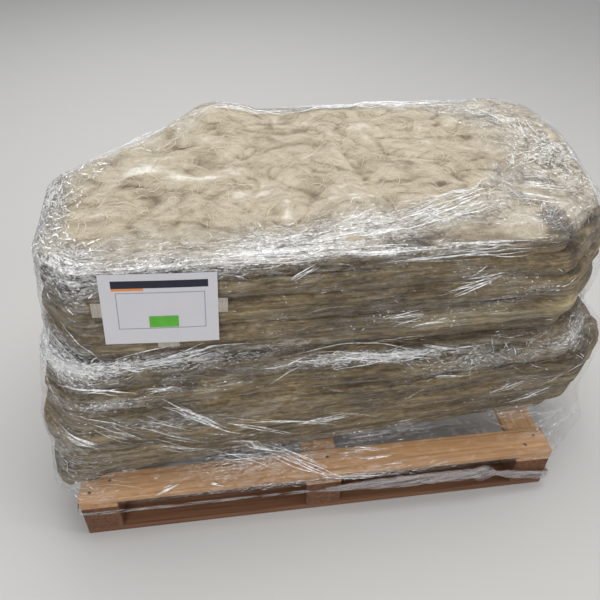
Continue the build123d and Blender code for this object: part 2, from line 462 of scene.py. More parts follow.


# folded ears, dents and lumps of wool on the sides: place, reach, push outward, paler or darker (-) tone. The
# darker tones of dents and gaps are painted shade.
# Some of the places were picked by eye in the photo and cast onto the load with a separate script.
sideSpots = [
    ((0.495, -0.290, 0.515), (0.034, 0.05, 0.020), 0.018, 2.6),
    ((0.560, -0.240, 0.470), (0.050, 0.08, 0.018), 0.0, 1.5),
    ((0.33, -0.32, 0.500), (0.17, 0.06, 0.024), 0.002, 1.5),
    ((0.18, -0.31, 0.470), (0.20, 0.06, 0.014), 0.0, 0.4),
    ((0.465, -0.25, 0.672), (0.036, 0.06, 0.022), -0.010, -3.0),
    ((0.497, -0.26, 0.632), (0.010, 0.05, 0.034), -0.008, -3.5),
    ((0.640, -0.18, 0.330), (0.030, 0.06, 0.020), -0.010, -0.8),
    ((0.150, -0.32, 0.557), (0.012, 0.05, 0.006), -0.004, -1.0),
    ((0.10, -0.34, 0.205), (0.13, 0.06, 0.020), 0.003, 0.35),
    ((0.25, -0.32, 0.245), (0.07, 0.06, 0.015), 0.003, 0.35),
    ((-0.50, -0.29, 0.350), (0.10, 0.10, 0.020), 0.003, 0.4),
    ((-0.565, -0.335, 0.125), (0.05, 0.07, 0.045), 0.052, 0.3),
    ((0.18, -0.30, 0.672), (0.14, 0.05, 0.010), -0.003, -1.6),
    ((0.60, -0.27, 0.310), (0.020, 0.06, 0.012), -0.006, -1.6),
    ((-0.35, -0.33, 0.200), (0.22, 0.08, 0.030), 0.0, 0.3),
    ((-0.55, -0.20, 0.600), (0.05, 0.14, 0.040), 0.0, -0.35),
    ((0.62, 0.12, 0.670), (0.10, 0.17, 0.070), 0.024, 0.0),
]


def sideSpot(x, y, z):
    push = tone = 0.0
    for (sx, sy, sz), (rx, ry, rz), out, pale in sideSpots:
        near = math.exp(-(((x - sx) / rx) ** 2 + ((y - sy) / ry) ** 2 + ((z - sz) / rz) ** 2))
        push += out * near
        tone += pale * near
    return push, tone


def sideDisplace(x, y, z):
    # felted layers: long flat strata, softer swelling under them
    swell = pile["bulge"] * noiseAt(x * 4.5, y * 4.5, z * 9)
    strata = 0.0032 * noiseAt(x * 4, y * 4, z * 95) + 0.0022 * noiseAt(x * 16, y * 16, z * 210)
    tuft = 0.0026 * noiseAt(x * 38, y * 38, z * 70)
    return swell + strata + tuft


def mineralWool():
    # glass wool felt: olive-brown lamination on its cut sides, cream down on its top
    material, tree = newMaterial("feltedMineralWool")
    place = objectPlace(tree)
    # the tone attribute brings paler and darker places, and the painted shade of seams, dents, gaps and
    # creases between clumps
    tone = addNode(tree, "ShaderNodeAttribute", {"attribute_name": "tone"}).outputs["Fac"]
    # laminations about 8 mm thick on the sides with 3 mm lines between, tufts 15 mm wide, and fibres 1 mm
    # wide drawn as 2 mm
    layers = pattern(tree, place, (4.0, 4.0, 60.0), 6.0, 0.70, 0.9)
    lines = pattern(tree, place, (11.0, 11.0, 240.0), 4.0, 0.66, 0.5, 4.0)
    patches = pattern(tree, place, (5.0, 5.0, 13.0), 4.0, 0.60, 0.8, 9.0)
    tufts = pattern(tree, place, (26.0, 26.0, 66.0), 5.0, 0.68, 1.6, 17.0)
    fuzz = pattern(tree, place, (90.0, 90.0, 240.0), 3.0, 0.7, 1.0, 14.0)
    shade = timesPlus(tree, tufts, 0.45, times(tree, layers, 0.55))
    shade = plus(tree, shade, times(tree, tone, 0.13))
    side = addRamp(tree, shade, [(0.28, "#3A2E1E"), (0.41, "#655337"), (0.50, "#87734F"), (0.59, "#A3906A"),
                                 (0.76, "#D0BE90")])
    side = shaded(tree, side, 0.70, lines, [(0.38, 0.36), (0.53, 1.0), (0.72, 1.22)])
    side = shaded(tree, side, 0.85, patches, [(0.36, 0.58), (0.62, 1.20)])
    side = shaded(tree, side, 0.5, fuzz, [(0.3, 0.72), (0.6, 1.08)])
    # swirled down: clumps come from the mesh, locks 20 mm wide and curled fibres 3 mm wide from here
    swirl = pattern(tree, place, (9.0, 12.0, 9.0), 5.0, 0.6, 1.6, 2.0)
    locks = pattern(tree, place, (30.0, 34.0, 30.0), 5.0, 0.64, 2.6, 6.0)
    curls = pattern(tree, place, (85.0, 85.0, 85.0), 4.0, 0.7, 3.5, 8.0)
    swirlToneAndShade = plus(tree, swirl, times(tree, tone, 0.22))
    top = addRamp(tree, swirlToneAndShade, [(0.02, "#4A4138"), (0.24, "#75664F"), (0.36, "#9E907A"), (0.48, "#BAAE98"),
                                (0.60, "#C6BBA7"), (0.80, "#F0ECE2")])
    top = shaded(tree, top, 0.7, locks, [(0.30, 0.74), (0.48, 0.98), (0.7, 1.08)])
    top = shaded(tree, top, 0.5, curls, [(0.32, 0.80), (0.5, 1.0), (0.66, 1.08)])
    facing = addNode(tree, "ShaderNodeSeparateXYZ",
                     links={"Vector": addNode(tree, "ShaderNodeNewGeometry").outputs["Normal"]}).outputs["Z"]
    level = addNode(tree, "ShaderNodeSeparateXYZ", links={"Vector": place}).outputs["Z"]
    upward = addNode(tree, "ShaderNodeMapRange", {"From Min": 0.25, "From Max": 0.6}, {"Value": facing})
    high = addNode(tree, "ShaderNodeMapRange", {"From Min": loadTop - 0.035, "From Max": loadTop - 0.012},
                   {"Value": level})
    upward = times(tree, upward.outputs["Result"], high.outputs["Result"])
    colour = mixColour(tree, upward, side, top)
    sideHeight = timesPlus(tree, lines, 0.4, timesPlus(tree, fuzz, 0.3, shade))
    topHeight = plus(tree, swirl, timesPlus(tree, locks, 0.6, times(tree, curls, 0.25)))
    height = addNode(tree, "ShaderNodeMix", {"data_type": "FLOAT"},
                     {0: upward, 2: sideHeight, 3: topHeight}).outputs[0]
    normal = bump(tree, height, 0.010, 0.85)
    finishMaterial(tree, {"Roughness": 0.95, "IOR": 1.5, "Specular IOR Level": 0.2, "Sheen Weight": 0.2,
                          "Sheen Roughness": 0.6}, {"Base Color": colour, "Normal": normal})
    return material


woolMaterial = mineralWool()


def battSide(level, isTop):
    # rows of points up the rounded edge of one layer, each with its tone
    outline, normal = outlines[level], normals[level]
    rows = pile["rows"] + (pile["topRows"] if isTop else 0)
    points, tones = [], []
    for j in range(rows + 1):
        v = j / rows
        below, above = (1 - v) ** 3.0, v ** 3.0
        for (x, y), (nx, ny) in zip(outline, normal):
            inset = below * (pile["edgeInset"] + seamDepth(x, y, level))
            # the seams are darkened by how deep they gape: painted shade
            dark = below * seamDepth(x, y, level)
            if isTop:
                inset += (1 - math.sqrt(max(0.0, 1 - v ** 4))) * pile["topRound"]
            else:
                inset += above * (pile["edgeInset"] + seamDepth(x, y, level + 1))
                dark += above * seamDepth(x, y, level + 1)
            z = deckTop + level * layerThickness + v * layerThickness
            if level == 0:
                z -= (1 - v) * pile["droop"] * float(smoothStep(*pile["droopSpan"], -x))
            share = smoothStep(0.3, 1.0, v) if isTop else 1.0
            rise = v * share * seamShift(x, y, level + 1) + (1 - v) * seamShift(x, y, level)
            push, tone = sideSpot(x, y, z)
            push += sideDisplace(x, y, z) - inset
            points.append((x + nx * push, y + ny * push, z + rise))
            tones.append(tone - dark * pile["seamShade"])
    return points, tones, rows


# paler and darker places of the down on top: place, reach and tone. Some of the places were picked by eye in
# the photo and cast onto the top with a separate script.
# the darkest places, in a hole and along a gap, are painted shade
topSpots = [((-0.344, 0.018), (0.040, 0.024), 1.7), ((-0.216, -0.022), (0.060, 0.013), 1.2),
            ((-0.42, -0.136), (0.030, 0.013), 1.0), ((-0.06, -0.169), (0.012, 0.028), 1.1),
            ((0.02, 0.047), (0.060, 0.012), 0.9), ((-0.105, -0.104), (0.050, 0.009), 0.9),
            ((-0.037, -0.052), (0.012, 0.012), 0.9), ((-0.30, -0.069), (0.09, 0.05), -0.35),
            ((0.19, -0.045), (0.12, 0.05), -0.25), ((0.288, -0.119), (0.030, 0.009), -0.9),
            ((-0.119, 0.058), (0.012, 0.030), -0.7), ((0.34, 0.16), (0.020, 0.006), -1.6),
            ((0.465, -0.24), (0.030, 0.034), -3.2), ((0.20, -0.285), (0.17, 0.012), -1.6)]


def topToneAndShade(x, y):
    # painted shade in the creases between clumps
    tone = -0.75 * billow(x, y)[1]
    for (sx, sy), (rx, ry), amount in topSpots:
        wander = 0.02 * noiseAt(x * 20, y * 20, 4.4)
        tone += amount * math.exp(-(((x - sx + wander) / rx) ** 2 + ((y - sy - wander) / ry) ** 2))
    return tone


def addBatt(level):
    isTop = level == len(layerNames) - 1
    count = pile["columns"]
    points, tones, rows = battSide(level, isTop)
    faces = ringFaces(0, count, rows) + [tuple(range(count - 1, -1, -1))]
    if isTop:
        rings = pile["topRings"]
        rim = np.array(points[-count:])
        low, high = layerBoxes[level]
        half = (high.x - low.x) / 2 - (high.y - low.y) / 2
        middle = ((high.x + low.x) / 2, (high.y + low.y) / 2)
        spine = np.stack([np.clip(rim[:, 0], middle[0] - half, middle[0] + half),
                          np.full(count, middle[1])], axis=1)
        for ring in range(1, rings + 1):
            t = ring / rings
            for i in range(count):
                x = rim[i, 0] + (spine[i, 0] - rim[i, 0]) * t
                y = rim[i, 1] + (spine[i, 1] - rim[i, 1]) * t
                points.append((x, y, loadTop + topRelief(x, y)))
                tones.append(topToneAndShade(x, y))
        faces += ringFaces(rows * count, count, rings)
    else:
        faces.append(tuple(rows * count + i for i in range(count)))
    piece = addPiece(f"wool_layer_{level + 1:02d}", points, faces, [woolMaterial])
    piece.data.attributes.new("tone", "FLOAT", "POINT").data.foreach_set("value", np.array(tones, np.float32))
    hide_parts(layerNames[level])


for level in range(len(layerNames)):
    addBatt(level)
print("wool layers made")


# Loose fibres that stand up from the top

fibres = {"count": 1200, "step": 0.0055, "width": 0.0007, "margin": 0.045, "seed": 5}


def swirlAngle(x, y):
    return 3.2 * noiseAt(x * 5.0, y * 5.0, 21.0) + 2.4 * noiseAt(x * 13, y * 13, 33.0)


def insideTop(x, y):
    return topInset(x, y) > fibres["margin"]


def addFibres():
    rng = random.Random(fibres["seed"])
    points, faces = [], []
    low, high = layerBoxes[-1]
    while len(faces) < fibres["count"] * 9:
        x, y = rng.uniform(low.x, high.x), rng.uniform(low.y, high.y)
        if not insideTop(x, y):
            continue
        angle = swirlAngle(x, y) * 1.4 + rng.gauss(0, 0.5)
        curl = rng.gauss(0, 0.30)
        steps = rng.randint(6, 14)
        lift = rng.uniform(0.001, 0.005)
        width = fibres["width"] * rng.uniform(0.6, 1.8)
        start, made = len(points), 0
        for s in range(steps + 1):
            t = s / steps
            z = loadTop + topRelief(x, y) + lift * math.sin(math.pi * t) + 0.0004
            half = width * math.sin(math.pi * min(max(t, 0.08), 0.92)) * 0.5
            nx, ny = -math.sin(angle) * half, math.cos(angle) * half
            points.append((x + nx, y + ny, z))
            points.append((x - nx, y - ny, z + 0.0003))
            made += 1
            x += math.cos(angle) * fibres["step"]
            y += math.sin(angle) * fibres["step"]
            angle += curl + 0.5 * (swirlAngle(x, y) - swirlAngle(x - 0.004, y))
            if not insideTop(x, y):
                break
        for s in range(made - 1):
            a = start + 2 * s
            faces.append((a, a + 1, a + 3, a + 2))
    # pale single strands that catch the light
    material = speckledMaterial("looseGlassFibre", (9.0, 9.0, 9.0), 0.5,
                                [(0.35, "#BDB19A"), (0.6, "#DAD1BE")],
                                {"Roughness": 0.9, "Sheen Weight": 0.2})
    addPiece("loose_fibres", points, faces, [material])


addFibres()
print("loose fibres laid")


# Stretch film: its rings come from the CAD film, and it is drawn a little closer to the wool

film = {"columns": 640, "closer": 0.002, "hemRows": 5, "rowsBetween": 8, "shoulderRows": 4, "bandRows": 18,
        "hem": 0.106, "lip": 0.129, "shoulder": loadTop - 0.008, "top": loadTop + 0.0033}
# where it hangs past the deck's left end: that far left, up to that level, pushed out at the hem and above,
# and dropped
hang = {"left": (0.545, 0.590), "below": 0.170, "hemPush": 0.020, "push": 0.010, "drop": 0.020}
# how far the film reaches in over the top at each end and side
bandWidths = {"left": 0.055, "right": 0.200, "front": 0.090, "middle": 0.135, "rear": 0.045, "slant": 0.070}


def bandWidth(x, y):
    low, high = layerBoxes[-1]
    u = (x - low.x) / (high.x - low.x)
    v = (y - low.y) / (high.y - low.y)
    front = bandWidths["front"]
    front += (bandWidths["middle"] - front) * float(smoothStep(0.40, 0.58, u))
    side = front + (bandWidths["rear"] - front) * float(smoothStep(0.35, 0.65, v))
    side += (bandWidths["left"] - side) * (1 - float(smoothStep(0.03, 0.16, u)))
    side += (bandWidths["slant"] - side) * float(smoothStep(0.55, 0.80, v) * (1 - smoothStep(0.22, 0.34, u)))
    side += (bandWidths["right"] - side) * float(smoothStep(0.70, 0.95, u))
    return side * (1 + 0.30 * noiseAt(x * 5, y * 5, 7.0) + 0.12 * noiseAt(x * 22, y * 22, 3.0))


def besideNotice(x, y, z, margin):
    # 0 behind the notice, 1 away from it by the margin
    low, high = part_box("notice_sheet")
    if y > high.y + 0.05:
        return 1.0
    far = max(low.x - x, x - high.x, low.z - z, z - high.z)
    return float(smoothStep(0.0, margin, far))


def filmWrinkle(x, y, z):
    # taut folds that run round the load, with a slight slant
    fold = max(0, 1 - abs(noiseAt(x * 5, y * 5, z * 34 + x * 3)) * 4)
    crinkle = noiseAt(x * 42, y * 42, z * 95)
    return 0.0016 * fold + 0.0008 * crinkle


def filmGrid():
    count = film["columns"]
    levels = [film["hem"], film["lip"]] + [deckTop + layerThickness * k for k in range(1, len(layerNames))]
    levels += [film["shoulder"], film["top"]]
    rings = [ringAt("stretch_film", level, 0.0006, count) for level in levels]
    rings = [ring - outward(ring) * film["closer"] for ring in rings]
    rows = []
    for k in range(len(levels) - 1):
        steps = film["rowsBetween"] if k else film["hemRows"]
        if k == len(levels) - 2:
            steps = film["shoulderRows"]
        for j in range(steps):
            t = j / steps
            z = levels[k] + (levels[k + 1] - levels[k]) * t
            ring = rings[k] * (1 - t) + rings[k + 1] * t
            normal = outward(ring)
            free = float(smoothStep(film["lip"] + 0.004, film["lip"] + 0.045, z))
            row = []
            for (x, y), (nx, ny) in zip(ring, normal):
                push = filmWrinkle(x, y, z) * (0.4 + 0.6 * free)
                push += free * pile["bulge"] * noiseAt(x * 4.5, y * 4.5, z * 9)
                push += max(0, free * sideSpot(x, y, z)[0])
                push *= besideNotice(x, y, z, 0.03)
                ripple = 0.0022 * (1 - free) * noiseAt(x * 34, y * 34, z * 8)
                hanging = float(smoothStep(*hang["left"], -x))
                hanging *= 1 - float(smoothStep(film["lip"], hang["below"], z))
                push += hang["hemPush" if k == 0 else "push"] * hanging
                ripple -= hang["drop"] * hanging
                drop = 0.004 * noiseAt(x * 9, y * 9, 4.0) if k == 0 and j == 0 else 0.0
                row.append((x + nx * push, y + ny * push, z + ripple + drop))
            rows.append(row)
    # in along the top
    rim, normal = rings[-1], outward(rings[-1])
    widths = [bandWidth(x, y) for x, y in rim]
    for j in range(film["bandRows"] + 1):
        t = j / film["bandRows"]
        row = []
        for (x, y), (nx, ny), width in zip(rim, normal, widths):
            px, py = x - nx * width * t, y - ny * width * t
            z = loadTop + max(topRelief(px, py), -0.002) * min(1, 0.25 + t * 2) + 0.0035
            z += 0.0035 * noiseAt(px * 30, py * 30, 2.0) * min(1, t * 3)
            row.append((px, py, z))
        rows.append(row)
    return np.array(rows)


# the way that film has to face to throw back the light of the lamps, for its painted highlight
lampward = (-0.05, -0.50, 0.865)


def stretchFilm():
    # blown polyethylene film: clear, white where it lies over itself, and with painted highlights where its
    # folds face the lamps
    material, tree = newMaterial("clearStretchFilm")
    wrap = addNode(tree, "ShaderNodeUVMap", {"uv_map": "wrap"}).outputs["UV"]
    gather = addNode(tree, "ShaderNodeAttribute", {"attribute_name": "gather"}).outputs["Fac"]
    # along and across the wrap in metres: folds 7 mm apart, crinkles 16 mm wide, crushed spots 25 mm wide,
    # slack patches 70 mm high
    folds = pattern(tree, wrap, (4.0, 140.0, 1.0), 5.0, 0.65, 0.8, 2.0)
    crinkle = pattern(tree, wrap, (28.0, 62.0, 1.0), 4.0, 0.60, 1.5, 5.0)
    crush = pattern(tree, wrap, (22.0, 42.0, 1.0), 3.0, 0.55, 1.2, 31.0)
    slack = pattern(tree, wrap, (5.0, 14.0, 1.0), 3.0, 0.5, 0.6, 11.0)
    speck = pattern(tree, wrap, (110.0, 220.0, 1.0), 1.0, 0.5, 0.0, 21.0)
    loose = addRamp(tree, slack, [(0.48, 0.0), (0.66, 1.0)])
    amount = maths(tree, "MAXIMUM", gather, times(tree, loose, 0.30))
    height = timesPlus(tree, crinkle, 0.8, folds)
    normal = bump(tree, height, 0.006, 1.0)
    # painted highlight: the film turns white where its bumped folds face the lamps
    facing = addNode(tree, "ShaderNodeVectorMath", {"operation": "DOT_PRODUCT", 1: lampward}, {0: normal})
    glint = addRamp(tree, facing.outputs["Value"], [(0.86, 0.0), (0.95, 1.0)])
    # crinkle lines, fold ridges, specks and sparkles: painted highlights, with the white of film lying in
    # layers
    net = addRamp(tree, crinkle, [(0.480, 0.0), (0.50, 1.0), (0.520, 0.0)])
    ridge = addRamp(tree, folds, [(0.482, 0.0), (0.50, 1.0), (0.518, 0.0)])
    glintSpecks = times(tree, addRamp(tree, speck, [(0.67, 0.0), (0.72, 1.0)]), loose)
    highlightAndLayers = times(tree, glint, timesPlus(tree, amount, 0.75, 0.06))
    highlightAndLayers = plus(tree, highlightAndLayers, times(tree, net, times(tree, amount, 0.75)))
    highlightAndLayers = plus(tree, highlightAndLayers, times(tree, ridge, timesPlus(tree, loose, 0.35, 0.04)))
    sparkle = times(tree, addRamp(tree, speck, [(0.58, 0.0), (0.63, 1.0)]), gather)
    highlightAndLayers = plus(tree, highlightAndLayers, times(tree, maths(tree, "MAXIMUM", glintSpecks, sparkle), 0.9))
    # painted shade: crushed film turns away from the lamps in spots
    turnedAwayShade = times(tree, gather, addRamp(tree, crush, [(0.38, 0.85), (0.48, 0.0)]))
    highlightAndLayers = times(tree, highlightAndLayers, maths(tree, "SUBTRACT", 1.0, turnedAwayShade))
    # where layers lie over each other they also hide the wool, with dark and pale crinkles of painted shade
    # and painted highlight
    veil = times(tree, gather, addRamp(tree, slack, [(0.36, 0.40), (0.60, 0.85)]))
    crinkleShadeAndHighlight = addRamp(tree, crinkle, [(0.43, "#2A2725"), (0.50, "#65615C"), (0.55, "#B3B1AE"),
                                      (0.61, "#FFFFFF")])
    crinkleShadeAndHighlight = mixColour(tree, times(tree, turnedAwayShade, 0.6), crinkleShadeAndHighlight, "#4A4642")
    # many layers deep it goes milky, and this white also stands for light thrown back by up-facing film:
    # painted reflection
    milkyAndReflection = times(tree, maths(tree, "MAXIMUM", maths(tree, "SUBTRACT", gather, 0.9), 0.0), 1.3)
    crinkleShadeAndHighlight = mixColour(tree, maths(tree, "MINIMUM", milkyAndReflection, 1.0), crinkleShadeAndHighlight, "#F6F5F4")
    colour = mixColour(tree, maths(tree, "MINIMUM", times(tree, highlightAndLayers, 2.5), 1.0), crinkleShadeAndHighlight, "#FFFFFF")
    alpha = maths(tree, "MINIMUM", plus(tree, maths(tree, "MAXIMUM", highlightAndLayers, veil), 0.045), 0.95)
    finishMaterial(tree, {"Roughness": 0.14, "IOR": 1.5, "Specular IOR Level": 0.8},
                   {"Base Color": colour, "Alpha": alpha, "Normal": normal})
    return material


def foldedFilm(name, clear, solid, colour, along):
    # the same film folded onto itself in creases and cords: many layers, so whiter; on the creases this white
    # is also painted highlight
    material, tree = newMaterial(name)
    place = objectPlace(tree)
    tone = pattern(tree, place, (along, 140.0, 140.0), 3.0, 0.6, 0.5)
    alpha = addRamp(tree, tone, [(0.42, clear), (0.62, solid)])
    normal = bump(tree, tone, 0.002, 0.8)
    finishMaterial(tree, {"Base Color": linear(colour), "Roughness": 0.2, "IOR": 1.5,
                          "Specular IOR Level": 0.8}, {"Alpha": alpha, "Normal": normal})
    return material


# where the film is gathered: a place, its reach and how strongly; it also sets where highlights are painted
# and, above 0.9, a painted reflection
gatherSpots = [
    ((-0.54, -0.12, 0.67), (0.06, 0.20, 0.09), 1.0),
    ((-0.47, -0.28, 0.66), (0.09, 0.08, 0.05), 1.05),
    ((-0.30, -0.31, 0.665), (0.25, 0.09, 0.022), 0.75),
    ((-0.06, -0.28, 0.680), (0.17, 0.06, 0.020), 0.85),
    ((0.09, -0.24, 0.690), (0.13, 0.05, 0.020), 0.80),
    ((0.23, -0.21, 0.690), (0.12, 0.04, 0.020), 0.65),
    ((0.34, -0.16, 0.690), (0.08, 0.06, 0.020), 0.50),
    ((0.20, -0.31, 0.665), (0.22, 0.03, 0.008), 0.55),
    ((0.55, 0.02, 0.69), (0.09, 0.22, 0.04), 0.7),
    ((0.44, 0.24, 0.69), (0.14, 0.07, 0.04), 0.55),
    ((-0.54, -0.24, 0.47), (0.09, 0.16, 0.06), 1.15),
    ((-0.50, -0.28, 0.440), (0.10, 0.12, 0.034), 1.6),
    ((-0.32, -0.31, 0.45), (0.20, 0.10, 0.026), 1.0),
    ((-0.08, -0.31, 0.47), (0.12, 0.10, 0.016), 0.5),
    ((-0.47, -0.32, 0.360), (0.10, 0.10, 0.014), 0.6),
    ((-0.30, -0.34, 0.300), (0.16, 0.08, 0.022), 0.4),
    ((0.10, -0.31, 0.405), (0.26, 0.10, 0.014), 0.7),
    ((0.36, -0.31, 0.370), (0.12, 0.10, 0.024), 0.5),
    ((0.54, -0.27, 0.390), (0.09, 0.08, 0.030), 0.7),
    ((-0.16, -0.34, 0.150), (0.16, 0.06, 0.03), 0.45),
    ((0.0, -0.40, 0.118), (0.35, 0.02, 0.012), 0.6),
    ((-0.56, -0.30, 0.22), (0.08, 0.12, 0.06), 0.5),
    ((0.0, 0.30, 0.43), (0.50, 0.10, 0.03), 0.6),
    ((0.0, 0.33, 0.68), (0.60, 0.05, 0.03), 0.6),
    ((0.62, 0.0, 0.43), (0.10, 0.30, 0.03), 0.6),
]


def gatherAt(grid):
    amount = np.zeros(len(grid))
    for place, reach, strength in gatherSpots:
        far = (((grid - np.array(place)) / np.array(reach)) ** 2).sum(axis=1)
        amount = np.maximum(amount, strength * np.exp(-far))
    return amount


filmRows = filmGrid()
filmPoints = filmRows.reshape(-1, 3)
filmMaterial = stretchFilm()
glareMaterial = foldedFilm("foldedFilmGlare", 0.38, 1.0, "#FFFFFF", 70.0)
sparkleMaterial = foldedFilm("foldedFilmSparkle", 0.12, 1.0, "#FFFFFF", 90.0)
faintMaterial = foldedFilm("foldedFilmFaint", 0.06, 0.45, "#EEF1F4", 90.0)
cordMaterial = foldedFilm("gatheredFilmCord", 0.05, 0.50, "#BDB6B5", 9.0)
clearCordMaterial = foldedFilm("tautFilmCord", 0.0, 0.14, "#E4E6E8", 20.0)


def wrapPlaces():
    # metres along the wrap from the front middle, negative on the left, and across it from the hem up and in
    rowCount, count = filmRows.shape[:2]
    middle = filmRows[rowCount // 2]
    stretch = np.linalg.norm(np.diff(middle, axis=0, append=middle[:1]), axis=1)
    along = np.concatenate([[0], np.cumsum(stretch)[:-1]])
    along[count // 2:] -= stretch.sum()
    steps = np.linalg.norm(np.diff(filmRows[:, 0], axis=0), axis=1)
    across = np.concatenate([[0], np.cumsum(steps)])
    return [(along[i % count], across[i // count]) for i in range(rowCount * count)]


def addFilm():
    rowCount, count = filmRows.shape[:2]
    faces = ringFaces(0, count, rowCount - 1)
    piece = addPiece("film_wrap", filmPoints, faces, [filmMaterial])
    amount = piece.data.attributes.new("gather", "FLOAT", "POINT")
    # its inner edge on top lies single, so it fades out there
    t = (np.arange(rowCount) - (rowCount - 1 - film["bandRows"])) / film["bandRows"]
    single = np.repeat(1 - smoothStep(0.55, 1.0, t), count)
    amount.data.foreach_set("value", (gatherAt(filmPoints) * single).astype(np.float32))
    places = wrapPlaces()
    layer = piece.data.uv_layers.new(name="wrap")
    for face, polygon in enumerate(piece.data.polygons):
        for loop, vertex in zip(polygon.loop_indices, polygon.vertices):
            along, across = places[vertex]
            if face % count == count // 2 - 1 and vertex % count == count // 2:
                along = -along
            layer.data[loop].uv = (along, across)
    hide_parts("stretch_film")
    print("film skin, square metres", round(sum(polygon.area for polygon in piece.data.polygons), 3))
    return piece, BVHTree.FromPolygons([Vector(p) for p in filmPoints], faces)


filmPiece, filmTree = addFilm()
print("film drawn on")
